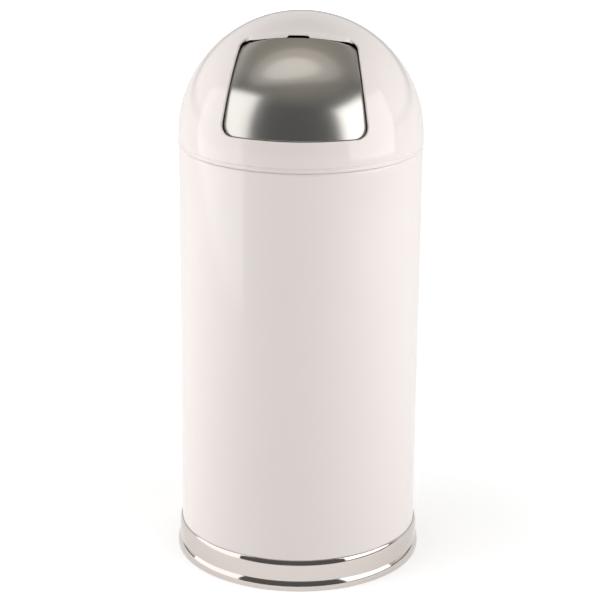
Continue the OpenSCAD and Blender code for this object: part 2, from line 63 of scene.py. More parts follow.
# %% Steps that clean a mesh
# Two lengths in metres, and the turn in degrees that is drawn as an edge
SAME_POINT, SLIVER, EDGE_ANGLE = 2e-6, 1e-7, 34


def merge_doubles(form):
    bmesh.ops.remove_doubles(form, verts=form.verts, dist=SAME_POINT)


def drop_slivers(form):
    bmesh.ops.dissolve_degenerate(form, edges=form.edges, dist=SLIVER)


def face_outwards(form):
    """Turns a closed mesh's faces outwards, whichever way they ran."""
    if form.calc_volume(signed=True) < 0:
        bmesh.ops.reverse_faces(form, faces=form.faces)
    print("encloses", round(form.calc_volume(signed=True) * 1e9), "mm3 of metal")


def reworked(mesh, *steps, sharp=EDGE_ANGLE):
    """Runs the steps on a mesh, and shades it smooth but for edges of over sharp degrees."""
    form = bmesh.new()
    form.from_mesh(mesh)
    for step in steps:
        step(form)
    form.to_mesh(mesh)
    form.free()
    mesh.polygons.foreach_set("use_smooth", [True] * len(mesh.polygons))
    mesh.set_sharp_from_angle(angle=math.radians(sharp))
    return mesh


# %% Objects, and meshes from points in millimetres
MM = 0.001


def new_object(name, data):
    made = bpy.data.objects.new(name, data)
    bpy.context.scene.collection.objects.link(made)
    return made


def mesh_piece(name, points, faces, *more_steps):
    mesh = bpy.data.meshes.new(name)
    mesh.from_pydata([tuple(p) for p in np.asarray(points, float) * MM], [], faces)
    return new_object(name, reworked(mesh, merge_doubles, drop_slivers, *more_steps))


def sheet_faces(rows, columns, closed=True):
    """Quads between rows of points. Each row closes on itself, and the last may meet the first."""
    faces = []
    for i in range(rows if closed else rows - 1):
        n = (i + 1) % rows
        for j in range(columns):
            k = (j + 1) % columns
            faces.append((i * columns + j, i * columns + k, n * columns + k, n * columns + j))
    return faces


# %% Sections: arcs and rounded corners
def arc(cx, cy, r, start, end, steps=12):
    turns = np.radians(np.linspace(start, end, steps + 1))
    return [(cx + r * math.cos(t), cy + r * math.sin(t)) for t in turns]


def rounded(corners, radius, steps=3, closed=True, least=25):
    """The same outline, with each corner sharper than least degrees rounded."""
    points, out, last = [np.array(c, float) for c in corners], [], len(corners) - 1
    for i, here in enumerate(points):
        before, after = points[i - 1], points[(i + 1) % len(points)]
        a, b = before - here, after - here
        la, lb = np.linalg.norm(a), np.linalg.norm(b)
        bend = 180 - math.degrees(math.acos(np.clip(a @ b / (la * lb), -1, 1)))
        if bend < least or (not closed and i in (0, last)):
            out.append(tuple(here))
            continue
        # A bend takes less than half of each of its two sides, so that two never overlap
        cut = min(radius * math.tan(math.radians(bend / 2)), 0.45 * la, 0.45 * lb)
        p, q = here + a / la * cut, here + b / lb * cut
        for t in np.linspace(0, 1, steps + 1):
            out.append(tuple((1 - t) ** 2 * p + 2 * t * (1 - t) * here + t * t * q))
    return out


# %% [markdown]
# ## Nodes in one line each
# A material or a Geometry Nodes tree is a list of nodes, and every node is made the same
# way: its kind, its settings, and its inputs, which are plain values or wires from other
# nodes. One small function does that for all of them. Colours are written as the sRGB
# hex values that a paint chart gives, and one function turns them to the linear values
# that the renderer wants.

# %% Add a node; turn a paint chart's colour to linear
def add(tree, kind, inputs=None, **settings):
    node = tree.nodes.new(kind)
    for key, value in settings.items():
        setattr(node, key, value)
    for key, value in (inputs or {}).items():
        if isinstance(value, bpy.types.NodeSocket):
            tree.links.new(value, node.inputs[key])
        else:
            node.inputs[key].default_value = value
    return node


def colour(chart):
    parts = [int(chart[i:i + 2], 16) / 255 for i in (0, 2, 4)]
    return [p / 12.92 if p <= 0.04045 else ((p + 0.055) / 1.055) ** 2.4 for p in parts] + [1]


def bare_tree(owner):
    """The node tree of a material or of the world, emptied."""
    owner.use_nodes = True
    owner.node_tree.nodes.clear()
    return owner.node_tree


def new_finish(name):
    """A new material, its empty tree, and the coordinates in metres that its patterns read."""
    material = bpy.data.materials.new(name)
    tree = bare_tree(material)
    return material, tree, add(tree, "ShaderNodeTexCoord").outputs["Object"]


def close_finish(tree, surface):
    """Ends a material's tree: the surface that its inputs describe."""
    shader = add(tree, "ShaderNodeBsdfPrincipled", surface)
    add(tree, "ShaderNodeOutputMaterial", {"Surface": shader.outputs[0]})


# %% [markdown]
# ## Gloss white baked enamel
# The can and the dome are spray painted and then baked. The paint flows out to an even
# gloss, but a faint orange peel a few millimetres across stays in it, which makes the
# edges of reflections waver a little. The white is slightly warm. A plain coloured
# surface would lose the peel, so noise drives a very shallow bump.

# %% Paint
# Baked enamel: an even, warm white with soft-edged highlights that waver very slightly
CLOUD, PEEL, PEEL_DEEP = 0.12, 0.004, 0.00003
enamel, tree, place = new_finish("gloss_white_baked_enamel")
cloudy = add(tree, "ShaderNodeTexNoise", {"Vector": place, "Scale": 1 / CLOUD, "Detail": 2.0})
tint = add(tree, "ShaderNodeMix", {"Factor": cloudy.outputs["Fac"], 6: colour("F4ECE8"),
    7: colour("F2EAE6")}, data_type="RGBA")
gloss = add(tree, "ShaderNodeMapRange", {"Value": cloudy.outputs["Fac"], "To Min": 0.1, "To Max": 0.13})
peel = add(tree, "ShaderNodeTexNoise", {"Vector": place, "Scale": 1 / PEEL, "Detail": 2.0})
relief = add(tree, "ShaderNodeBump", {"Height": peel.outputs["Fac"], "Strength": 0.35,
    "Distance": PEEL_DEEP})
close_finish(tree, {"Base Color": tint.outputs[2], "Roughness": gloss.outputs[0],
    "Normal": relief.outputs[0], "IOR": 1.52})
print("enamel: orange peel", round(PEEL / MM), "mm across")

# %% [markdown]
# ## Bright chrome plate
# The ring round the foot is chrome on pressed steel. Chrome is a mirror that takes away
# about four tenths of the light, so it looks grey where it shows a white floor and dark
# where it shows the unlit side of a studio. The pressing leaves long, shallow waves
# under the plate, and years of mopping leave a little haze.

# %% Chrome
# Chrome plate: a grey mirror with long waves in it and a trace of haze
HAZE, WAVE, WAVE_DEEP = 0.03, 0.05, 0.0002
chrome, tree, place = new_finish("bright_chrome_plate")
haze = add(tree, "ShaderNodeTexNoise", {"Vector": place, "Scale": 1 / HAZE, "Detail": 4.0})
dull = add(tree, "ShaderNodeMapRange", {"Value": haze.outputs["Fac"], "From Min": 0.35,
    "From Max": 0.75, "To Min": 0.045, "To Max": 0.11})
wave = add(tree, "ShaderNodeTexNoise", {"Vector": place, "Scale": 1 / WAVE, "Detail": 1.0})
relief = add(tree, "ShaderNodeBump", {"Height": wave.outputs["Fac"], "Strength": 0.5,
    "Distance": WAVE_DEEP})
close_finish(tree, {"Base Color": colour("CFC7C2"), "Metallic": 1.0, "Roughness": dull.outputs[0],
    "Normal": relief.outputs[0]})
print("chrome: waves", round(WAVE / MM), "mm long")

# %% [markdown]
# ## Satin stainless steel
# The door is stainless sheet rubbed with a fine belt. The belt leaves thousands of
# parallel scratches, and they smear each reflection across themselves, so a lamp becomes
# a soft patch. The scratches run up and down the door, and the smear runs sideways. They
# are a tenth of a millimetre apart, too fine to see here, so they are drawn ten times as
# coarse, and the shader's anisotropy does the rest. A map in metres, across the door and
# up it, carries both.


# %% Brushed stainless, with its grain along one axis
def brushed(name, chart, smooth, rough, grain, pull, grain_map=None):
    """grain gives the scratches' lengths in metres along the three axes of the map."""
    material, tree, place = new_finish(name)
    if grain_map:
        place = add(tree, "ShaderNodeUVMap", uv_map=grain_map).outputs[0]
    stretched = add(tree, "ShaderNodeMapping", {"Vector": place, "Scale": [1 / g for g in grain]})
    scratches = add(tree, "ShaderNodeTexNoise", {"Vector": stretched.outputs[0], "Scale": 1.0,
        "Detail": 3.0, "Roughness": 0.6})
    dull = add(tree, "ShaderNodeMapRange", {"Value": scratches.outputs["Fac"], "From Min": 0.3,
        "From Max": 0.7, "To Min": smooth, "To Max": rough})
    relief = add(tree, "ShaderNodeBump", {"Height": scratches.outputs["Fac"], "Strength": 0.1,
        "Distance": 0.00002})
    surface = {"Base Color": colour(chart), "Metallic": 1.0, "Anisotropic": pull,
        "Roughness": dull.outputs[0], "Normal": relief.outputs[0]}
    if grain_map:
        along = add(tree, "ShaderNodeTangent", direction_type="UV_MAP", uv_map=grain_map)
        surface["Tangent"] = along.outputs[0]
    close_finish(tree, surface)
    return material


# Belt-rubbed sheet: soft patches where a mirror would show sharp lamps
satin_steel = brushed("satin_stainless_sheet", "C6C3BE", 0.19, 0.22, (0.001, 0.05, 1.0), 0.7, "grain_map")
# Mill-finished strip of the hinge leaves and the stop: the same steel, not belt rubbed
mill_steel = brushed("mill_stainless_strip", "B4B0A9", 0.26, 0.38, (0.03, 0.001, 0.001), 0.0)
# Drawn rod: fine lines along it
drawn_steel = brushed("drawn_stainless_rod", "BDBAB4", 0.16, 0.28, (0.02, 0.0008, 0.0008), 0.0)
# Hard-drawn spring wire: darker, with an oily film
spring_steel = brushed("hard_drawn_spring_wire", "8A857E", 0.22, 0.36, (0.004, 0.0008, 0.0008), 0.0)
print("stainless: grain 1 mm apart and 50 mm long on the door")

# %% [markdown]
# ## Galvanised steel
# The liner is dipped in molten zinc. As the zinc freezes, it grows flat crystals about a
# centimetre across, and each one shines in its own direction. Voronoi cells are the same
# shape as such crystals: one value for each cell sets how bright and how dull it is.


# %% Zinc crystals
def galvanised(name, crystal, chart_dark, chart_light):
    """crystal gives the width of one crystal in metres."""
    material, tree, place = new_finish(name)
    wander = add(tree, "ShaderNodeTexNoise", {"Vector": place, "Scale": 0.6 / crystal, "Detail": 2.0})
    pushed = add(tree, "ShaderNodeVectorMath", {0: wander.outputs["Color"], 1: [crystal * 0.8] * 3},
        operation="MULTIPLY")
    bent = add(tree, "ShaderNodeVectorMath", {0: place, 1: pushed.outputs[0]}, operation="ADD")
    cells = add(tree, "ShaderNodeTexVoronoi", {"Vector": bent.outputs[0], "Scale": 1 / crystal})
    value = add(tree, "ShaderNodeSeparateColor", {"Color": cells.outputs["Color"]})
    tint = add(tree, "ShaderNodeMix", {"Factor": value.outputs[0], 6: colour(chart_dark),
        7: colour(chart_light)}, data_type="RGBA")
    dull = add(tree, "ShaderNodeMapRange", {"Value": value.outputs[1], "To Min": 0.3, "To Max": 0.52})
    relief = add(tree, "ShaderNodeBump", {"Height": value.outputs[2], "Strength": 0.15,
        "Distance": 0.00002})
    close_finish(tree, {"Base Color": tint.outputs[2], "Metallic": 1.0, "Roughness": dull.outputs[0],
        "Normal": relief.outputs[0]})
    return material


# Hot-dipped sheet: grey-blue crystals 11 mm across
zinc_sheet = galvanised("hot_dipped_galvanised_sheet", 0.011, "9A9FA2", "BCC1C3")
# Zinc-plated small parts: a finer, brighter, slightly blue skin
zinc_plate = galvanised("bright_zinc_plate", 0.0025, "B0B4B8", "C6CACD")
print("galvanised: crystals 11 mm on sheet, 2.5 mm on plated parts")

# %% [markdown]
# ## Nylon and rubber
# The washers on the rod are natural nylon: milky and half dull. The two bumpers are
# black moulded rubber with a fine grain from their mould.


# %% Moulded and turned plastics
def plastic(name, chart, chart_other, dull, grain, depth, ior):
    """grain and depth give the width and the height of its grain in metres."""
    material, tree, place = new_finish(name)
    mottle = add(tree, "ShaderNodeTexNoise", {"Vector": place, "Scale": 1 / grain, "Detail": 3.0})
    tint = add(tree, "ShaderNodeMix", {"Factor": mottle.outputs["Fac"], 6: colour(chart),
        7: colour(chart_other)}, data_type="RGBA")
    shine = add(tree, "ShaderNodeMapRange", {"Value": mottle.outputs["Fac"], "To Min": dull - 0.06,
        "To Max": dull + 0.06})
    relief = add(tree, "ShaderNodeBump", {"Height": mottle.outputs["Fac"], "Strength": 0.4,
        "Distance": depth})
    close_finish(tree, {"Base Color": tint.outputs[2], "Roughness": shine.outputs[0],
        "Normal": relief.outputs[0], "IOR": ior})
    return material


# Turned from natural nylon rod: milky, with faint cloudiness
nylon = plastic("natural_nylon", "E9E3D2", "F1ECDF", 0.42, 0.002, 0.00002, 1.53)
# Moulded rubber: nearly black, dull, finely grained
rubber = plastic("moulded_black_rubber", "1B1B1C", "242425", 0.68, 0.0006, 0.00005, 1.52)
print("nylon and rubber: grain 2 mm and 0.6 mm")

# %% [markdown]
# ## Turned pieces
# The can, its floor, the collar and the liner are all round. On the real ones a roll
# forms the sheet and beads its edges, and in mesh code a section is turned about the
# upright axis. The section runs anticlockwise, with the radius to the right, so that the
# faces point outwards. A lift adds a little radius in one place, for a lap seam.


# %% Turn a section about the upright axis
def turned(name, section, steps=320, lift=None, extra=(), closed=True):
    """extra gives angles, in degrees, at which the piece also needs a column of points."""
    angles = sorted(set(np.round(np.linspace(0, 360, steps, endpoint=False), 6)) | set(extra))
    points = []
    for r, z in section:
        for a in angles:
            reach = r + (lift(a, r, z) if lift else 0)
            points.append((reach * math.cos(math.radians(a)), reach * math.sin(math.radians(a)), z))
    return mesh_piece(name, points, sheet_faces(len(section), len(angles), closed))


# %% Dress a piece
def dressed(piece, material, body, slot, *nodes):
    """Gives a finished piece its material, its body and the nodes that it stands for."""
    piece.data.materials.clear()
    piece.data.materials.append(material)
    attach(piece, body)
    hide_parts(*nodes)
    print(piece.name, "-", len(piece.data.polygons), "faces, on", body)
    return piece


# %% [markdown]
# ## The can
# The can is sheet 1.2 mm thick, rolled to 390 mm and lapped up the back, where the eye
# rarely goes. Its rim is curled outwards into a bead, which stiffens it and carries the
# dome. The lap is 16 mm wide and stands 0.9 mm proud. It starts above the chrome ring and
# ends below the bead.

# %% Lap seam up the back
SEAM_W, SEAM_T, STEP_W, EASE = 16.0, 0.9, 0.5, 0.1


def seam_edges(radius):
    """Azimuths, in degrees, where a lap seam up the back starts and ends."""
    half, step = math.degrees(SEAM_W / 2 / radius), math.degrees(STEP_W / radius)
    return [90 - half, 90 - half + step, 90 + half - step, 90 + half]


def seam_lift(radius, low, high, gaps=()):
    """What a lap from low to high adds to the radius. It lies flat in the gaps."""
    edges = seam_edges(radius)

    def lift(a, r, z):
        if abs(r - radius) > 0.01 or not low <= z <= high or any(g0 < z < g1 for g0, g1 in gaps):
            return 0
        return SEAM_T * float(np.interp(a, edges, [0, 1, 1, 0]))
    return lift


def seam_end(radius, z):
    """Two points of a section, just below and above the height where a lap starts or ends."""
    return [(radius, z - EASE), (radius, z + EASE)]


print("lap:", SEAM_W, "mm wide and", SEAM_T, "mm proud")

# %% Can body with its rim bead and lap seam
CAN_R, CAN_T, CAN_FOOT, RIM_Z, RIM_R = 195.0, 1.2, 1.25, 690.0, 3.0
LAP_LOW, LAP_HIGH = 56.0, 686.0
rim_curl = arc(CAN_R - RIM_R, RIM_Z, RIM_R, 0, 307, 26)
can_section = rounded([(CAN_R, CAN_FOOT)] + seam_end(CAN_R, LAP_LOW) + seam_end(CAN_R, LAP_HIGH)
    + rim_curl + [(CAN_R - CAN_T, CAN_FOOT)], 0.3)
can = turned("can_body", can_section, 384, seam_lift(CAN_R, LAP_LOW, LAP_HIGH), seam_edges(CAN_R))
dressed(can, enamel, "can", "white_enamel", "body_shell")

# %% [markdown]
# The floor is a pressed pan: its edge is turned down inside the can and welded there, and
# a shallow dish in the middle keeps it from drumming.

# %% Floor pan
PAN_R, PAN_TOP, PAN_LOW, PAN_T = 193.7, 25.0, 11.0, 1.2
DISH_R, DISH_LIP_R, DISH_TOP = 143.8, 149.8, 22.0
pan = [(0, DISH_TOP), (DISH_R, DISH_TOP), (DISH_LIP_R, PAN_TOP), (PAN_R, PAN_TOP), (PAN_R, PAN_LOW),
    (PAN_R - PAN_T, PAN_LOW), (PAN_R - PAN_T, PAN_TOP - PAN_T), (DISH_LIP_R, PAN_TOP - PAN_T),
    (DISH_R, DISH_TOP - PAN_T), (0, DISH_TOP - PAN_T)]
floor_pan = turned("can_floor_pan", rounded(pan[::-1], 1.2, 4, closed=False), 256, closed=False)
dressed(floor_pan, enamel, "can", "white_enamel", "floor_pan")

# %% [markdown]
# ## The chrome ring
# The ring is the piece that catches the eye at the foot: a rounded shoulder, a flat band
# and a bulge at the floor, and a foot turned in under the can. Where the surface leans
# up, it shows the dark side of the studio, and where it is upright, the white floor. Its
# shape follows one rule, a section swept round a circle, so Geometry Nodes make it. The
# object's own mesh is the section, and the tree has an input for the ring's radius and
# one for its steps.


# %% Geometry Nodes: start a tree, end it, and run it
def new_tree(name, *inputs):
    """A tree with a geometry socket on each side and the named inputs."""
    tree = bpy.data.node_groups.new(name, "GeometryNodeTree")
    tree.interface.new_socket("Geometry", in_out="INPUT", socket_type="NodeSocketGeometry")
    sockets = {label: tree.interface.new_socket(label, in_out="INPUT", socket_type="NodeSocket" + kind)
        for label, kind in inputs}
    tree.interface.new_socket("Geometry", in_out="OUTPUT", socket_type="NodeSocketGeometry")
    ids = {label: socket.identifier for label, socket in sockets.items()}
    return tree, ids, add(tree, "NodeGroupInput").outputs


def close_tree(tree, shape, material):
    """Ends a tree: real instances, its material."""
    real = add(tree, "GeometryNodeRealizeInstances", {0: shape})
    painted = add(tree, "GeometryNodeSetMaterial", {"Geometry": real.outputs[0], "Material": material})
    add(tree, "NodeGroupOutput", {0: painted.outputs[0]})


def grown(name, seed_mesh, tree, ids, **values):
    """Runs a tree on a seed mesh and returns the result as a plain mesh object."""
    seed = new_object(name, seed_mesh)
    modifier = seed.modifiers.new(name, "NODES")
    modifier.node_group = tree
    for label, value in values.items():
        modifier[ids[label.replace("_", " ")]] = value
    shown = seed.evaluated_get(bpy.context.evaluated_depsgraph_get())
    mesh = bpy.data.meshes.new_from_object(shown)
    seed.modifiers.clear()
    seed.data = reworked(mesh, merge_doubles, face_outwards)
    mesh.name = name
    return seed


# %% Geometry Nodes: sweep a section round an upright axis
ring_tree, ring_ids, given = new_tree("swept_ring", ("Ring radius", "Float"), ("Steps", "Int"))
outline = add(ring_tree, "GeometryNodeMeshToCurve", {"Mesh": given["Geometry"]})
where = add(ring_tree, "ShaderNodeSeparateXYZ",
    {0: add(ring_tree, "GeometryNodeInputPosition").outputs[0]})
out_by = add(ring_tree, "ShaderNodeMath", {0: where.outputs["X"], 1: given["Ring radius"]},
    operation="SUBTRACT")
down_by = add(ring_tree, "ShaderNodeMath", {0: where.outputs["Z"], 1: -1.0}, operation="MULTIPLY")
flat = add(ring_tree, "ShaderNodeCombineXYZ", {"X": out_by.outputs[0], "Y": down_by.outputs[0]})
laid = add(ring_tree, "GeometryNodeSetPosition", {"Geometry": outline.outputs[0],
    "Position": flat.outputs[0]})
circle = add(ring_tree, "GeometryNodeCurvePrimitiveCircle", {"Radius": given["Ring radius"],
    "Resolution": given["Steps"]}, mode="RADIUS")
swept = add(ring_tree, "GeometryNodeCurveToMesh", {"Curve": circle.outputs[0],
    "Profile Curve": laid.outputs[0]})
close_tree(ring_tree, swept.outputs[0], chrome)
print("tree", ring_tree.name, "- inputs", list(ring_ids))

# %% Chrome ring
BAND_R, UNDER_CAN_R, FOOT_IN_R, FOOT_OUT_R, FOOT_T = 199.0, 195.05, 184.05, 202.74, 1.2
# Each arc: centre's radius and height, its own radius, and the lean where it starts and ends
foot_bulge = 181.17, 3.5, 21.9, 10, 35.8
shoulder = 161.7, 35.55, 38, 11, 22
top_round = 193.04, 48.22, 4.2, 22, 61
ring_section = rounded([(FOOT_IN_R, 0.0), (FOOT_OUT_R, 0.0)]
    + arc(*foot_bulge) + arc(*shoulder) + arc(*top_round)[1:]
    + [(UNDER_CAN_R, FOOT_T), (FOOT_IN_R, FOOT_T)], 0.8, 3)
profile = bpy.data.meshes.new("ring_section")
profile.from_pydata([(x * MM, 0, z * MM) for x, z in ring_section],
    [(i, (i + 1) % len(ring_section)) for i in range(len(ring_section))], [])
ring = grown("chrome_base_ring", profile, ring_tree, ring_ids, Ring_radius=BAND_R * MM, Steps=384)
dressed(ring, chrome, "can", "chrome", "base_ring")

# %% [markdown]
# ## The dome
# The dome is spun from one disc: half a sphere, a short skirt, a groove and a hem bead.
# The opening is punched through it square to a line that climbs at 35 degrees. Its sides
# and its foot are turned in with a small bend, and its top is turned down into a lip that
# closes the gap above the door, with a notch in front of the door's spring. The bends are
# what the light catches, so the dome is laid out as a closed sheet of rows and columns.
# Each column starts at a point of the opening's edge, climbs round the bend, runs over
# the sphere along a great circle to the equator, goes down the skirt and round the bead,
# and comes back inside.

# %% The punch's frame
DOME_Z, DOME_R, DOME_T = 707.3, 196.0, 1.5
DOME_C = np.array([0, 0, DOME_Z])
TILT = math.radians(35)
ACROSS = np.array([1.0, 0, 0])
UP = np.array([0, math.sin(TILT), math.cos(TILT)])
OUT = np.array([0, -math.cos(TILT), math.sin(TILT)])


def along_punch(u, w, x):
    """The way from the dome's centre: u out along the punch, w up across it, x to the right."""
    return np.multiply.outer(u, OUT) + np.multiply.outer(w, UP) + np.multiply.outer(x, ACROSS)


def on_sphere(radius, xw):
    """The points of a sphere, seen from its centre, that stand over the points (x, w)."""
    return along_punch(np.sqrt(radius ** 2 - (xw ** 2).sum(1)), xw[:, 1], xw[:, 0])


print("punch: out along", OUT.round(3), "and up along", UP.round(3))

# %% Outline of the opening
# It is HALF wide each way at w = 0, reaches from LOW_W to TOP_W, and its sides lean
HALF, LOW_W, TOP_W, LEAN = 103.7, -81.5, 99.0, math.radians(8.7)
LOW_ARC, TOP_CORNER, LOW_CORNER = 318.0, 16.0, 22.0
SIDE_OUT, SIDE_UP = np.array([math.cos(LEAN), math.sin(LEAN)]), np.array([-math.sin(LEAN), math.cos(LEAN)])
EDGE_POINTS = 460


def corner_centre(r, arc_r, arc_c, up):
    """The centre of a corner that touches the leaning side and, above or below, an arc."""
    start = (HALF * math.cos(LEAN) - r) * SIDE_OUT
    off = start - arc_c
    mid = off @ SIDE_UP
    root = math.sqrt(mid * mid - off @ off + (arc_r - r) ** 2)
    return start + (-mid + up * root) * SIDE_UP


def opening_edge(inset, top_arc):
    """Points (x, w) round the opening, drawn in by inset, with their outward directions."""
    top_c, low_c = np.array([0, TOP_W - top_arc]), np.array([0, LOW_W + LOW_ARC])
    top_corner = corner_centre(TOP_CORNER, top_arc, top_c, 1)
    low_corner = corner_centre(LOW_CORNER, LOW_ARC, low_c, -1)
    lean = math.degrees(LEAN)
    top_a = math.degrees(math.atan2(*(top_corner - top_c)[::-1]))
    low_a = math.degrees(math.atan2(*(low_corner - low_c)[::-1]))
    # Each run: its share of the points, then centre, radius and angle where it starts and ends
    runs = [
        (3, (low_c, LOW_ARC, -90), (low_c, LOW_ARC, low_a)),
        (5, (low_corner, LOW_CORNER, low_a), (low_corner, LOW_CORNER, lean)),
        (4, (low_corner, LOW_CORNER, lean), (top_corner, TOP_CORNER, lean)),
        (5, (top_corner, TOP_CORNER, lean), (top_corner, TOP_CORNER, top_a)),
        (3, (top_c, top_arc, top_a), (top_c, top_arc, 90))]
    total, right = sum(run[0] for run in runs), []
    for share, (c0, r0, a0), (c1, r1, a1) in runs:
        count = round(EDGE_POINTS / 2 * share / total)
        for t in np.arange(count) / count:
            turn = math.radians(a0 + (a1 - a0) * t)
            out = np.array([math.cos(turn), math.sin(turn)])
            right.append((*(c0 + (c1 - c0) * t + (r0 + (r1 - r0) * t - inset) * out), *out))
    right = np.array(right + [(0, TOP_W - inset, 0, 1)])
    left = right[1:-1][::-1] * [-1, 1, -1, 1]
    return np.vstack([right, left])


# The top of the dome's opening is nearly straight
edge = opening_edge(0, top_arc=1600.0)
print("opening:", len(edge), "points,", round(2 * edge[:, 0].max(), 1), "mm wide,",
    round(np.ptp(edge[:, 1]), 1), "mm high")


# %% Directions, and bends between them
def unit(v):
    return v / np.linalg.norm(v, axis=-1, keepdims=True)


def slerp(a, b, t):
    """Directions from a to b, one set for each t."""
    angle = np.arccos(np.clip((a * b).sum(-1, keepdims=True), -1, 1))
    return (np.sin((1 - t) * angle) * a + np.sin(t * angle) * b) / np.sin(angle)


def bend_round(centre, radius, start, end, steps):
    return [centre + radius * slerp(start, end, t) for t in np.linspace(0, 1, steps + 1)]


def eased(share):
    """0 up to a share of 0, 1 from a share of 1, and a soft start and end between them."""
    share = np.clip(share, 0, 1)
    return share ** 2 * (3 - 2 * share)


# %% Great circles from the opening to the equator
BEND = 2.0
xw, out2 = edge[:, :2], edge[:, 2:]
bend_c = on_sphere(DOME_R - BEND, xw + BEND * out2)
radial = unit(bend_c)
# Each circle leaves the punch's line in the direction ray, and near and far are the
# angles from that line at which it leaves the bend and meets the equator
swing = np.arctan2(radial @ UP, radial @ ACROSS)
ray = np.outer(np.cos(swing), ACROSS) + np.outer(np.sin(swing), UP)
near = np.arccos(radial @ OUT)
far = np.arctan2(math.sin(TILT), -math.cos(TILT) * np.sin(swing))


def over_sphere(t):
    a = (near + (far - near) * t)[:, None]
    return np.cos(a) * OUT + np.sin(a) * ray


print("dome: great circles of", round(DOME_R * (far - near).min()), "to",
    round(DOME_R * (far - near).max()), "mm")

# %% The turned-in flange, and the lip along the top
# The sides and the foot are turned in along the punch, down to a sphere of FLANGE_R.
# Where the edge faces up, the sheet turns down across the punch instead and makes the lip,
# LIP_DEEP at each LIP_X from the middle
FLANGE_R = 191.0
LIP_FROM, LIP_OVER, LIP_WAY = 0.8, 0.19, 0.28 * OUT + 0.96 * UP
LIP_X, LIP_DEEP = [0, 40, 62, 78], [7.6, 7.2, 6.2, 4.0]
NOTCH_HALF, NOTCH_SIDE, NOTCH_DEEP = 15.5, 1.2, 3.6
at_top = eased((out2[:, 1:] - LIP_FROM) / LIP_OVER)
inwards = -unit((1 - at_top) * OUT + at_top * LIP_WAY)
plane_out = out2[:, :1] * ACROSS + out2[:, 1:] * UP
into = unit(-plane_out + (plane_out * inwards).sum(1, keepdims=True) * inwards)
from_middle = np.abs(xw[:, :1])
in_notch = 1 - np.clip((from_middle - NOTCH_HALF) / NOTCH_SIDE, 0, 1)
lip_deep = np.interp(from_middle, LIP_X, LIP_DEEP) - NOTCH_DEEP * in_notch
flange_deep = ((bend_c - on_sphere(FLANGE_R, xw)) @ OUT)[:, None]
depth = (1 - at_top) * flange_deep + at_top * lip_deep
print("flange", round(float(flange_deep.min()), 1), "to", round(float(depth.max()), 1), "mm deep")


def wall_at(depth_left, skin):
    """The turned-in wall, a little short of its end, skin below its visible face."""
    return bend_c + (BEND - skin) * into + (depth - depth_left) * inwards


# %% Rows of the dome's sheet
SKIRT_TOP, BREAK = 705.0, 0.12
groove = [(DOME_R, 702.6), (DOME_R, 701.6), (194.95, 700.6), (195.0, 699.9), (195.8, 698.9)]
hem_bead = arc(193.6, 696.2, 2.9, 24, -198, 22)
behind_skirt = [(DOME_R - DOME_T, 699.4), (DOME_R - DOME_T, SKIRT_TOP)]
skirt = rounded([(DOME_R, SKIRT_TOP)] + groove + hem_bead + behind_skirt, 0.5, 3, closed=False)
level = unit(over_sphere(1.0) * [1, 1, 0])
skirt_rows = [level * r + [0, 0, z - DOME_Z] for r, z in skirt]
# Rows are close together beside the bend, where the reflections turn fastest
steps = np.concatenate([[0, 0.004, 0.012], np.linspace(0.025, 1, 62)])
outer = [DOME_R * over_sphere(t) for t in steps]
inner = [(DOME_R - DOME_T) * over_sphere(t) for t in steps[::2]]
# The sheet's cut edge, with both of its corners broken
wall = [wall_at(BREAK, 0.0), wall_at(0.0, BREAK), wall_at(0.0, DOME_T - BREAK), wall_at(BREAK, DOME_T)]
rows = (bend_round(bend_c, BEND, into, radial, 9)[:-1] + outer + skirt_rows + inner[::-1]
    + bend_round(bend_c, BEND - DOME_T, radial, into, 5)[1:] + wall[::-1])
print("dome:", len(rows), "rows of", len(edge), "points")


# %% Close the sheet into one mesh
def closed_sheet(name, rows, centre):
    return mesh_piece(name, np.vstack(rows) + centre, sheet_faces(len(rows), len(rows[0])), face_outwards)


dome = closed_sheet("dome_sheet", rows, DOME_C)
dressed(dome, enamel, "dome", "white_enamel", "dome_shell")

# %% [markdown]
# Inside the skirt sits the collar: an upper leg welded to the skirt, a shoulder that the
# can's rim carries, and a lower leg that keeps the dome from sliding off.

# %% Locating collar
COLLAR_T, COLLAR_LOW, COLLAR_TOP, SHOULDER_Z = 1.2, 674.0, 709.3, 701.5
LOW_LEG_R, TOP_LEG_R = 188.6, 194.45
collar_section = [(LOW_LEG_R, COLLAR_LOW), (LOW_LEG_R, SHOULDER_Z - COLLAR_T),
    (TOP_LEG_R, SHOULDER_Z - COLLAR_T), (TOP_LEG_R, COLLAR_TOP), (TOP_LEG_R - COLLAR_T, COLLAR_TOP),
    (TOP_LEG_R - COLLAR_T, SHOULDER_Z), (LOW_LEG_R - COLLAR_T, SHOULDER_Z),
    (LOW_LEG_R - COLLAR_T, COLLAR_LOW)]
collar = turned("dome_locating_collar", rounded(collar_section, 0.5), 320)
dressed(collar, enamel, "dome", "white_enamel", "dome_collar")

# %% [markdown]
# ## The push door
# The door is a bowed panel. Its sides and its bottom are turned back with a tight bend,
# and its straight top edge ends just below the lip. It is one closed sheet as well: rings
# run from the middle of its face out to the edge, round the bend, down the turned-back
# wall and home again behind.

# %% Outline of the door
DOOR_R, DOOR_T, DOOR_GAP, DOOR_SET_IN, DOOR_TOP = 175.0, 1.2, 1.6, 2.0, 91.5
DOOR_U = DOME_R - DOOR_SET_IN - DOOR_R
DOOR_C = DOME_C + along_punch(DOOR_U, 0.0, 0.0)
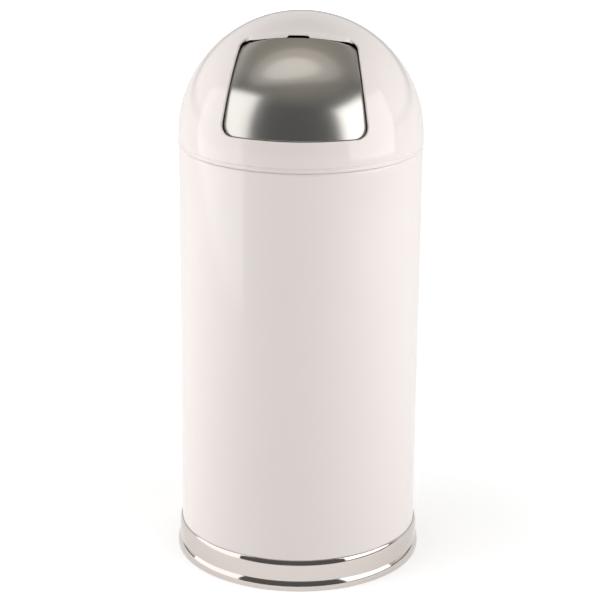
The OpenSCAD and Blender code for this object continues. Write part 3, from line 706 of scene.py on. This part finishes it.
# It follows the opening, but for its top, which is cut off straight at DOOR_TOP
door_edge = opening_edge(DOOR_GAP, top_arc=420.0)
right_side = door_edge[:EDGE_POINTS // 2]
top_x = np.interp(DOOR_TOP, right_side[:, 1], right_side[:, 0])
cut = door_edge[:, 1] > DOOR_TOP
door_edge[cut, 0] = np.linspace(top_x, -top_x, cut.sum() + 2)[1:-1]
door_edge[cut, 1:] = [DOOR_TOP, 0, 1]
print("door:", round(2 * door_edge[:, 0].max(), 1), "mm wide,", round(2 * top_x, 1), "mm at its top")

# %% Door sheet
# The sides are turned back up to the height TURNED_TO, and that dies out over DIES_OUT
TURNED_TO, DIES_OUT, TURNED_DEEP = 74, 4, 5.0
TOP_BEND, SIDE_BEND, EDGE_BREAK = 0.5, 1.3, 0.1
xw, out2 = door_edge[:, :2], door_edge[:, 2:]
turned_back = eased((TURNED_TO - xw[:, 1:]) / DIES_OUT)
bend = TOP_BEND + (SIDE_BEND - TOP_BEND) * turned_back
inner_bend = bend - DOOR_T * turned_back - TOP_BEND * (1 - turned_back)
seat_c = on_sphere(DOOR_R - bend[:, 0], xw - bend * out2)
radial, sideways = unit(seat_c), unit(out2[:, :1] * ACROSS + out2[:, 1:] * UP)
face_edge = DOOR_R * np.stack([radial @ ACROSS, radial @ UP], 1)
middle = np.array([0.0, 5.0])


def face_row(t, radius):
    return on_sphere(radius, middle + (face_edge * radius / DOOR_R - middle) * t)


def back_wall(inset, radius):
    return on_sphere(radius[:, 0], xw - inset * out2)


spread = np.concatenate([[0.0], np.linspace(0.03, 0.97, 30), [0.988]])
deep = DOOR_R - DOOR_T - (TURNED_DEEP - DOOR_T) * turned_back
rows = [face_row(t, DOOR_R) for t in spread]
rows += bend_round(seat_c, bend, radial, sideways, 6)
rows += [back_wall(EDGE_BREAK, deep), back_wall(EDGE_BREAK + (DOOR_T - 2 * EDGE_BREAK) * turned_back, deep)]
rows += bend_round(seat_c, inner_bend, sideways, radial, 4)
rows += [face_row(t, DOOR_R - DOOR_T) for t in spread[::-1]]
door = closed_sheet("push_door_panel", rows, DOOR_C)
print("door:", len(rows), "rows of", len(door_edge), "points")

# %% The map for the door's grain: metres across the door and metres up it
grain = door.data.uv_layers.new(name="grain_map")
for loop in door.data.loops:
    p = np.array(door.data.vertices[loop.vertex_index].co)
    grain.data[loop.index].uv = (float(p @ ACROSS), float(p @ UP))
dressed(door, satin_steel, "door", "brushed_stainless", "push_door")

# %% [markdown]
# ## Hinge, stop and bumpers
# The CAD already has these small pieces in their true shape. Their meshes come as loose
# triangles, which a light shows as flat facets. A copy is merged and shaded smooth up to
# its real edges, and stands for the node.


# %% Smooth copies of the small fittings
def fitting(node, name, material, body, slot):
    mesh = reworked(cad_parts[node].data.copy(), merge_doubles, sharp=32)
    mesh.name = name
    return dressed(new_object(name, mesh), material, body, slot, node)


fitting("hinge_bracket_left", "left_hinge_bracket", enamel, "dome", "white_enamel")
fitting("hinge_bracket_right", "right_hinge_bracket", enamel, "dome", "white_enamel")
fitting("hinge_rod", "door_hinge_rod", drawn_steel, "dome", "brushed_stainless")
fitting("rod_push_nuts", "hinge_push_nuts", zinc_plate, "dome", "galvanised")
fitting("rod_washers", "hinge_washers", nylon, "dome", "nylon")
fitting("hinge_leaf_left", "left_hinge_leaf", mill_steel, "door", "brushed_stainless")
fitting("hinge_leaf_right", "right_hinge_leaf", mill_steel, "door", "brushed_stainless")
fitting("door_stop_lip", "door_stop_strip", mill_steel, "door", "brushed_stainless")
fitting("bumper_left", "left_stop_bumper", rubber, "door", "rubber")
fitting("bumper_right", "right_stop_bumper", rubber, "door", "rubber")

# %% [markdown]
# ## Bent wire: the door spring and the bail
# A torsion spring is one wire: a leg on the door's back, nine close turns round the rod,
# and a leg under the dome. The bail is one wire too. Both follow a path, so one Geometry
# Nodes tree sweeps a round wire along each: the object's own mesh is the path, and the
# wire's radius and its number of sides are inputs.

# %% Geometry Nodes: a round wire along a path
wire_tree, wire_ids, given = new_tree("bent_wire", ("Wire radius", "Float"), ("Sides", "Int"),
    ("Metal", "Material"))
path = add(wire_tree, "GeometryNodeMeshToCurve", {"Mesh": given["Geometry"]})
hoop = add(wire_tree, "GeometryNodeCurvePrimitiveCircle", {"Radius": given["Wire radius"],
    "Resolution": given["Sides"]}, mode="RADIUS")
wire = add(wire_tree, "GeometryNodeCurveToMesh", {"Curve": path.outputs[0],
    "Profile Curve": hoop.outputs[0], "Fill Caps": True})
close_tree(wire_tree, wire.outputs[0], given["Metal"])
print("tree", wire_tree.name, "- inputs", list(wire_ids))


def bent_wire(name, points, radius, sides, metal):
    line = bpy.data.meshes.new(name + "_path")
    line.from_pydata([tuple(np.array(p) * MM) for p in points],
        [(i, i + 1) for i in range(len(points) - 1)], [])
    return grown(name, line, wire_tree, wire_ids, Wire_radius=radius * MM, Sides=sides, Metal=metal)


# %% Where the spring's legs touch
HINGE_W, HINGE_DROP = 97.5, 16.3
HINGE_U = math.sqrt((DOME_R - DOME_T) ** 2 - HINGE_W ** 2) - HINGE_DROP
HINGE = DOME_C + along_punch(HINGE_U, HINGE_W, 0.0)
COIL_R, COIL_L, WIRE_R, TURNS, FREE = 5.2, 27.0, 0.8, 9, 0.4
DOOR_LEG, DOME_LEG = -31.5, 44.0


def leg_tip(drop, centre_u, radius):
    """Where a leg ends, out and up from the hinge: drop up, on a sphere about centre_u."""
    w = HINGE_W + drop
    return centre_u + math.sqrt(radius ** 2 - w * w - (COIL_L / 2) ** 2) - HINGE_U, drop


door_tip = leg_tip(DOOR_LEG, DOOR_U, DOOR_R - DOOR_T - WIRE_R - FREE)
dome_tip = leg_tip(DOME_LEG, 0.0, DOME_R - DOME_T - WIRE_R - FREE)
print("legs:", [round(math.hypot(*tip), 1) for tip in (door_tip, dome_tip)], "mm long")

# %% Door spring
# The coil starts and ends where a leg touches it, so that the wire has no kink
STEPS_A_TURN, STEPS_A_LEG = 28, 11
coil_start = math.atan2(door_tip[1], door_tip[0]) + math.acos(COIL_R / math.hypot(*door_tip))
coil_end = math.atan2(dome_tip[1], dome_tip[0]) - math.acos(COIL_R / math.hypot(*dome_tip))
sweep = (coil_end - coil_start) % (2 * math.pi) + 2 * math.pi * TURNS
coil = [(COIL_R * math.cos(coil_start + sweep * t), COIL_R * math.sin(coil_start + sweep * t),
    COIL_L * (0.5 - t)) for t in np.linspace(0, 1, TURNS * STEPS_A_TURN + 1)]
legs = [[(tip[0] * k + c[0] * (1 - k), tip[1] * k + c[1] * (1 - k), c[2])
    for k in np.linspace(1, 0, STEPS_A_LEG + 1)[:-1]]
    for tip, c in ((door_tip, coil[0]), (dome_tip, coil[-1]))]
wire_path = [HINGE + u * OUT + w * UP + x * ACROSS for u, w, x in legs[0] + coil + legs[1][::-1]]
spring = bent_wire("door_torsion_spring", wire_path, WIRE_R, 10, spring_steel)
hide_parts("door_spring")
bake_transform(spring)
print("spring:", TURNS, "turns of", 2 * WIRE_R, "mm wire,", len(spring.data.polygons), "faces")

# %% [markdown]
# ## The liner
# The liner is a plain galvanised pail: a rolled and lapped wall, two ribs that keep it
# round, a curled rim, a bottom set in a few millimetres, and two riveted ears that carry
# the bail.

# %% Liner wall with ribs, rim bead and lap seam
LINER_R, LINER_T, LINER_Z, LINER_TALL, BEAD_R, BEAD_Z = 176.0, 1.0, 25.3, 630.0, 3.5, 651.8
LAP_LOW, LAP_HIGH, WALL_TOP = 27.3, 648.4, 648.6
RIB_Z, RIB_HALF, RIB_OUT, RIB_IN = [LINER_Z + LINER_TALL * k / 3 for k in (1, 2)], 3.5, 2.4, 1.4
rib_c = LINER_R - LINER_T / 4
outside, inside = [(LINER_R, LINER_Z)] + seam_end(LINER_R, LAP_LOW), []
for z in RIB_Z:
    outside += seam_end(LINER_R, z - RIB_HALF) + arc(rib_c, z, RIB_OUT, -84, 84, 10)
    outside += seam_end(LINER_R, z + RIB_HALF)
    inside = ([(LINER_R - LINER_T, z + RIB_IN)] + arc(rib_c, z, RIB_IN, 60, -60, 6)
        + [(LINER_R - LINER_T, z - RIB_IN)] + inside)
rim_bead = arc(LINER_R - LINER_T + BEAD_R, BEAD_Z, BEAD_R, -133, 180, 24)
liner_section = rounded(outside + [(LINER_R, WALL_TOP)] + rim_bead + inside
    + [(LINER_R - LINER_T, LINER_Z)], 0.3)
lap = seam_lift(LINER_R, LAP_LOW, LAP_HIGH, [(z - RIB_HALF, z + RIB_HALF) for z in RIB_Z])
liner = turned("liner_wall", liner_section, 320, lap, seam_edges(LINER_R))
dressed(liner, zinc_sheet, "liner", "galvanised", "liner_shell")

# %% Liner bottom and ears
BOTTOM_R, BOTTOM_TOP = 174.95, 32.3
bottom = [(0, BOTTOM_TOP - LINER_T), (BOTTOM_R - LINER_T, BOTTOM_TOP - LINER_T),
    (BOTTOM_R - LINER_T, LINER_Z), (BOTTOM_R, LINER_Z), (BOTTOM_R, BOTTOM_TOP), (0, BOTTOM_TOP)]
liner_bottom = turned("liner_bottom_pan", rounded(bottom, 0.5, 3, closed=False), 256, closed=False)
dressed(liner_bottom, zinc_sheet, "liner", "galvanised", "liner_bottom")
fitting("liner_ear_left", "left_bail_ear", zinc_plate, "liner", "galvanised")
fitting("liner_ear_right", "right_bail_ear", zinc_plate, "liner", "galvanised")

# %% [markdown]
# Four rivets hold the ears, each with a low domed head on both sides. They are the same
# rivet four times over, so Geometry Nodes stand one rivet on each of four points, and the
# points carry which way out is.

# %% Geometry Nodes: one rivet on each point
rivet_tree, rivet_ids, given = new_tree("rivets", ("Shank radius", "Float"), ("Head radius", "Float"),
    ("Head height", "Float"), ("Grip", "Float"), ("Metal", "Material"))
shank = add(rivet_tree, "GeometryNodeMeshCylinder", {"Vertices": 24, "Radius": given["Shank radius"],
    "Depth": given["Grip"]})
ball = add(rivet_tree, "GeometryNodeMeshUVSphere", {"Segments": 24, "Rings": 16,
    "Radius": given["Head radius"]})
low = add(rivet_tree, "ShaderNodeMath", {0: given["Head height"], 1: given["Head radius"]},
    operation="DIVIDE")
size = add(rivet_tree, "ShaderNodeCombineXYZ", {"X": 1.0, "Y": 1.0, "Z": low.outputs[0]})
heads = []
for way in (1.0, -1.0):
    half = add(rivet_tree, "ShaderNodeMath", {0: given["Grip"], 1: 0.5 * way}, operation="MULTIPLY")
    high = add(rivet_tree, "ShaderNodeCombineXYZ", {"Z": half.outputs[0]})
    heads.append(add(rivet_tree, "GeometryNodeTransform", {"Geometry": ball.outputs[0],
        "Translation": high.outputs[0], "Scale": size.outputs[0]}))
rivet = add(rivet_tree, "GeometryNodeJoinGeometry")
for part in [shank] + heads:
    rivet_tree.links.new(part.outputs[0], rivet.inputs[0])
way_out = add(rivet_tree, "GeometryNodeInputNamedAttribute", {"Name": "way_out"},
    data_type="FLOAT_VECTOR")
facing = add(rivet_tree, "FunctionNodeAlignRotationToVector", {"Vector": way_out.outputs["Attribute"]},
    axis="Z")
placed = add(rivet_tree, "GeometryNodeInstanceOnPoints", {"Points": given["Geometry"],
    "Instance": rivet.outputs[0], "Rotation": facing.outputs[0]})
close_tree(rivet_tree, placed.outputs[0], given["Metal"])
print("tree", rivet_tree.name, "- inputs", list(rivet_ids))

# %% Rivets through the ears
RIVET_R, HEAD_R, HEAD_H, EAR_IN_R, SEATED, RIVET_STEP = 2.4, 4.56, 1.2, 173.3, 0.05, 14
inner_x, outer_x = math.sqrt(EAR_IN_R ** 2 - HEAD_R ** 2) - SEATED, LINER_R + SEATED
top_z = BEAD_Z - BEAD_R - HEAD_R - 2
places = [(side, z) for side in (1, -1) for z in (top_z, top_z - RIVET_STEP)]
spots = bpy.data.meshes.new("rivet_spots")
spots.from_pydata([(side * (inner_x + outer_x) / 2 * MM, 0, z * MM) for side, z in places], [], [])
spots.attributes.new("way_out", "FLOAT_VECTOR", "POINT").data.foreach_set(
    "vector", [v for side, z in places for v in (side, 0.0, 0.0)])
rivets = grown("bail_ear_rivets", spots, rivet_tree, rivet_ids, Shank_radius=RIVET_R * MM,
    Head_radius=HEAD_R * MM, Head_height=HEAD_H * MM, Grip=(outer_x - inner_x) * MM, Metal=zinc_plate)
dressed(rivets, zinc_plate, "liner", "galvanised", "ear_rivets")

# %% [markdown]
# The bail is 5 mm wire. It lies back on the rim in half a circle, turns in through the
# eye of each ear, and its ends are headed so that it can't pull out. The heads are turned
# about the wire's own line and joined to it, because the three are one piece.

# %% Bail wire
BAIL_R, BAIL_Z, BAIL_WIRE, BAIL_CORNER, HOOK_X = 178.5, 658.1, 2.5, 4.5, 170.3
half_turn = math.degrees(BAIL_CORNER / BAIL_R)
half_circle = [(*point, BAIL_Z) for point in arc(0, 0, BAIL_R, half_turn, 180 - half_turn, 149)]
turn_in = [(HOOK_X, 0, BAIL_Z)] + [(*point, BAIL_Z)
    for point in arc(BAIL_R - BAIL_CORNER, BAIL_CORNER, BAIL_CORNER, -90, 0, 9)]
turn_back = [(-x, y, z) for x, y, z in turn_in[::-1]]
bail = bent_wire("liner_bail_wire", turn_in + half_circle[1:-1] + turn_back, BAIL_WIRE, 20, zinc_plate)
print("bail:", 2 * BAIL_WIRE, "mm wire on a half circle of", BAIL_R, "mm")

# %% Headed ends, joined to the wire
HEAD_SIDES, BUTTON_R, BUTTON_T = 32, 4.35, 2


def headed(side):
    """A low button on a wire's end, turned about the X axis."""
    x0, x1 = HOOK_X - 1, HOOK_X - 1 + BUTTON_T
    section = rounded([(0, x0), (BUTTON_R, x0), (BUTTON_R, x1), (0, x1)], 0.6, 4, closed=False)
    points = [(side * x, r * math.cos(a), BAIL_Z + r * math.sin(a)) for r, x in section
        for a in np.linspace(0, 2 * math.pi, HEAD_SIDES, endpoint=False)]
    return mesh_piece("bail_head", points, sheet_faces(len(section), HEAD_SIDES, closed=False), face_outwards)


def join_in(piece, extras):
    """Adds the extras' meshes to a piece and removes them as objects."""
    def take_in(form):
        for extra in extras:
            form.from_mesh(extra.data)
            bpy.data.objects.remove(extra)
    reworked(piece.data, take_in)


join_in(bail, [headed(1), headed(-1)])
dressed(bail, zinc_plate, "bail", "galvanised", "liner_bail")

# %% [markdown]
# ## The studio floor
# The studio is a white cove. Its floor is a pale disc that takes the can's shadow. It
# also shines a little, but only to the camera and in reflections, so that it adds no
# light to the enamel's colour. To the camera it shines more the further out it is, and so
# it fades out to the white of the cove.

# %% Floor
FLOOR_R, FLOOR_SIDES, SHINE, FADE_FROM, FADE_TO = 6.0, 96, 0.47, 0.3, 1.6
floor_mesh = bpy.data.meshes.new("studio_floor")
floor_mesh.from_pydata([(FLOOR_R * math.cos(t), FLOOR_R * math.sin(t), 0)
    for t in np.linspace(0, 2 * math.pi, FLOOR_SIDES, endpoint=False)], [], [tuple(range(FLOOR_SIDES))])
floor = new_object("studio_floor", floor_mesh)
# White paper: matt, and a little short of white
paper = bpy.data.materials.new("white_cove_paper")
tree = bare_tree(paper)
matt = add(tree, "ShaderNodeBsdfDiffuse", {"Color": colour("E2E2E2")})
kind_of_ray = add(tree, "ShaderNodeLightPath").outputs
seen = add(tree, "ShaderNodeMath", {0: kind_of_ray["Is Camera Ray"], 1: kind_of_ray["Is Glossy Ray"]},
    operation="MAXIMUM")
from_can = add(tree, "ShaderNodeVectorMath", {0: add(tree, "ShaderNodeTexCoord").outputs["Object"]},
    operation="LENGTH")
fade = add(tree, "ShaderNodeMapRange", {"Value": from_can.outputs["Value"], "From Min": FADE_FROM,
    "From Max": FADE_TO, "To Min": 0.0, "To Max": 0.7}, interpolation_type="SMOOTHSTEP")
strength = add(tree, "ShaderNodeMath", {0: fade.outputs[0], 1: kind_of_ray["Is Camera Ray"], 2: SHINE},
    operation="MULTIPLY_ADD")
shine = add(tree, "ShaderNodeEmission", {"Color": colour("FFFFFF"), "Strength": strength.outputs[0]})
unlit = add(tree, "ShaderNodeEmission", {"Strength": 0.0})
glow = add(tree, "ShaderNodeMixShader", {0: seen.outputs[0], 1: unlit.outputs[0], 2: shine.outputs[0]})
both = add(tree, "ShaderNodeAddShader", {0: matt.outputs[0], 1: glow.outputs[0]})
add(tree, "ShaderNodeOutputMaterial", {"Surface": both.outputs[0]})
floor_mesh.materials.append(paper)
print("floor:", 2 * FLOOR_R, "m across")

# %% [markdown]
# ## The sky of the cove
# What a ray finds above the floor depends on its kind. The camera sees plain white. A
# reflection sees white behind the can, with a narrow grey band low down, and grey
# overhead and in front, so that bright metal has something to show. All other rays light
# the object. They find a sky that is dark overhead and brighter low down, and brightest
# behind and on the left, with a little of that on the right.

# %% World: where a ray points, and colours by its height
world = bpy.data.worlds.new("white_cove")
bpy.context.scene.world = world
tree = bare_tree(world)
way = add(tree, "ShaderNodeSeparateXYZ", {0: add(tree, "ShaderNodeTexCoord").outputs["Generated"]})
behind = add(tree, "ShaderNodeMapRange", {"Value": way.outputs["Y"], "From Min": 0.0, "From Max": 0.35})
# Each ramp: its lowest and its highest colour, and then those between them
ramps = {
    "front_mirrored": [(0.0, "616162"), (1.0, "B4AEA4"), (0.56, "636363"), (0.8, "97948E")],
    "back_mirrored": [(0.0, "E8E8E8"), (1.0, "B4AEA4"), (0.03, "7C7C7C"), (0.09, "7C7C7C"),
        (0.15, "F4F4F4"), (0.5, "EAEAEA"), (0.72, "97948E")],
    "front_ambient": [(0.0, "868484"), (1.0, "3C3A38")],
    "back_ambient": [(0.0, "DCDCDC"), (1.0, "3C3A38")]}
by_height = {}
for name, colours in ramps.items():
    ramp = add(tree, "ShaderNodeValToRGB", {0: way.outputs["Z"]})
    for k, (at, chart) in enumerate(colours):
        stop = ramp.color_ramp.elements[k] if k < 2 else ramp.color_ramp.elements.new(at)
        stop.position, stop.color = at, colour(chart)
    by_height[name] = ramp.outputs[0]
print("sky:", len(by_height), "ramps by height")

# %% World: what metal shows, and what lights the object
mirrored = add(tree, "ShaderNodeMix", {"Factor": behind.outputs[0], 6: by_height["front_mirrored"],
    7: by_height["back_mirrored"]}, data_type="RGBA")
low_ambient = add(tree, "ShaderNodeMix", {"Factor": behind.outputs[0], 6: by_height["front_ambient"],
    7: by_height["back_ambient"]}, data_type="RGBA")
to_left = add(tree, "ShaderNodeMath", {0: way.outputs["X"], 1: -1.0}, operation="MULTIPLY")
left = add(tree, "ShaderNodeMapRange", {"Value": to_left.outputs[0], "From Min": 0.2, "From Max": 0.7})
upper = add(tree, "ShaderNodeMapRange", {"Value": way.outputs["Z"], "From Min": 0.05, "From Max": 0.35})
upper_left = add(tree, "ShaderNodeMath", {0: left.outputs[0], 1: upper.outputs[0]}, operation="MULTIPLY")
right = add(tree, "ShaderNodeMapRange", {"Value": way.outputs["X"], "From Min": 0.1, "From Max": 0.8,
    "To Max": 0.4})
sides = add(tree, "ShaderNodeMath", {0: upper_left.outputs[0], 1: right.outputs[0]}, operation="MAXIMUM")
ambient = add(tree, "ShaderNodeMix", {"Factor": sides.outputs[0], 6: low_ambient.outputs[2],
    7: colour("FFFFFF")}, data_type="RGBA")
print("sky: one colour for metal and one for light, from", len(tree.nodes), "nodes")

# %% World: one sky for each kind of ray
kind_of_ray = add(tree, "ShaderNodeLightPath").outputs
glossy = add(tree, "ShaderNodeMix", {"Factor": kind_of_ray["Is Glossy Ray"], 6: ambient.outputs[2],
    7: mirrored.outputs[2]}, data_type="RGBA")
shown = add(tree, "ShaderNodeMix", {"Factor": kind_of_ray["Is Camera Ray"], 6: glossy.outputs[2],
    7: colour("FFFFFF")}, data_type="RGBA")
sky = add(tree, "ShaderNodeBackground", {"Color": shown.outputs[2], "Strength": 1.0})
add(tree, "ShaderNodeOutputWorld", {"Surface": sky.outputs[0]})
print("world:", len(tree.nodes), "nodes")

# %% [markdown]
# ## Soft lights
# A large soft light stands on each side and a small one overhead, with a wider, weaker
# skirt round it, so that its highlight has no hard edge. The enamel and the door show all
# of them. Two more lights fill the front. They would put a spot of their own in the
# enamel, so they don't show in reflections.

# %% Soft lights
VIEW = math.radians(3.65)


def towards(turn, climb):
    """The direction turn degrees right of the camera, seen from the can, and climb degrees up."""
    a, e = VIEW + math.radians(turn), math.radians(climb)
    return np.array([math.sin(a) * math.cos(e), -math.cos(a) * math.cos(e), math.sin(e)])


def soft_light(name, shape, place, square_to, wide, tall, power, mirrored=True):
    """A flat light at place (turn, climb, metres) from the door, square to a (turn, climb)."""
    lamp = bpy.data.lights.new(name, "AREA")
    lamp.shape, lamp.size, lamp.size_y, lamp.energy = shape, wide, tall, power
    light = new_object(name, lamp)
    light.location = DOOR_C * MM + towards(*place[:2]) * place[2]
    light.rotation_euler = Vector(towards(*square_to)).to_track_quat("Z", "Y").to_euler()
    light.visible_glossy = mirrored
    print(name, "at", [round(v, 2) for v in light.location])


soft_light("left_softbox", "RECTANGLE", (-89.5, 6, 1.9), (-50, 4), 2.3, 1.8, 20)
soft_light("right_softbox", "RECTANGLE", (68, 9, 2.2), (68, 12), 2.1, 1.8, 24)
soft_light("overhead_softbox", "ELLIPSE", (-35, 73, 1.3), (0, 73), 1.15, 0.55, 0.6)
soft_light("overhead_skirt", "ELLIPSE", (-40, 77, 1.32), (0, 77), 2.1, 1.0, 1.1)
soft_light("left_fill", "ELLIPSE", (-45, 30, 2.6), (-45, 30), 1.6, 1.6, 3.5, mirrored=False)
soft_light("right_fill", "ELLIPSE", (42, 26, 2.6), (42, 26), 1.6, 1.6, 8.5, mirrored=False)

# %% [markdown]
# ## Camera
# The picture was taken from 1.5 m up and 3.2 m away, looking down 18.7 degrees, with a
# long lens. The camera stands a little to the right of the door's middle and is turned
# by half a degree about its own axis, as the photograph is.

# %% Camera
# The lens in millimetres, two distances in metres, and small angles found by fitting
LENS, AWAY, HIGH = 124.02, 3.2046, 1.5128
DOWN, TURNED, NUDGE = math.radians(18.713), math.radians(0.466), math.radians(0.0088)
heading = VIEW - NUDGE
level_forward = Vector((-math.sin(heading), math.cos(heading), 0))
level_right = Vector((math.cos(heading), math.sin(heading), 0))
forward = level_forward * math.cos(DOWN) - Vector((0, 0, math.sin(DOWN)))
level_up = level_right.cross(forward)
camera_right = level_right * math.cos(TURNED) + level_up * math.sin(TURNED)
camera_up = level_up * math.cos(TURNED) - level_right * math.sin(TURNED)
lens = bpy.data.cameras.new("long_lens")
lens.lens, lens.sensor_width, lens.clip_end = LENS, 36, 50
camera = new_object("camera", lens)
camera.matrix_world = Matrix((camera_right, camera_up, -forward)).transposed().to_4x4()
camera.location = (AWAY * math.sin(VIEW), -AWAY * math.cos(VIEW), HIGH)
bpy.context.scene.camera = camera
bpy.context.scene.view_settings.view_transform = "Standard"
print("camera", [round(v, 3) for v in camera.location])
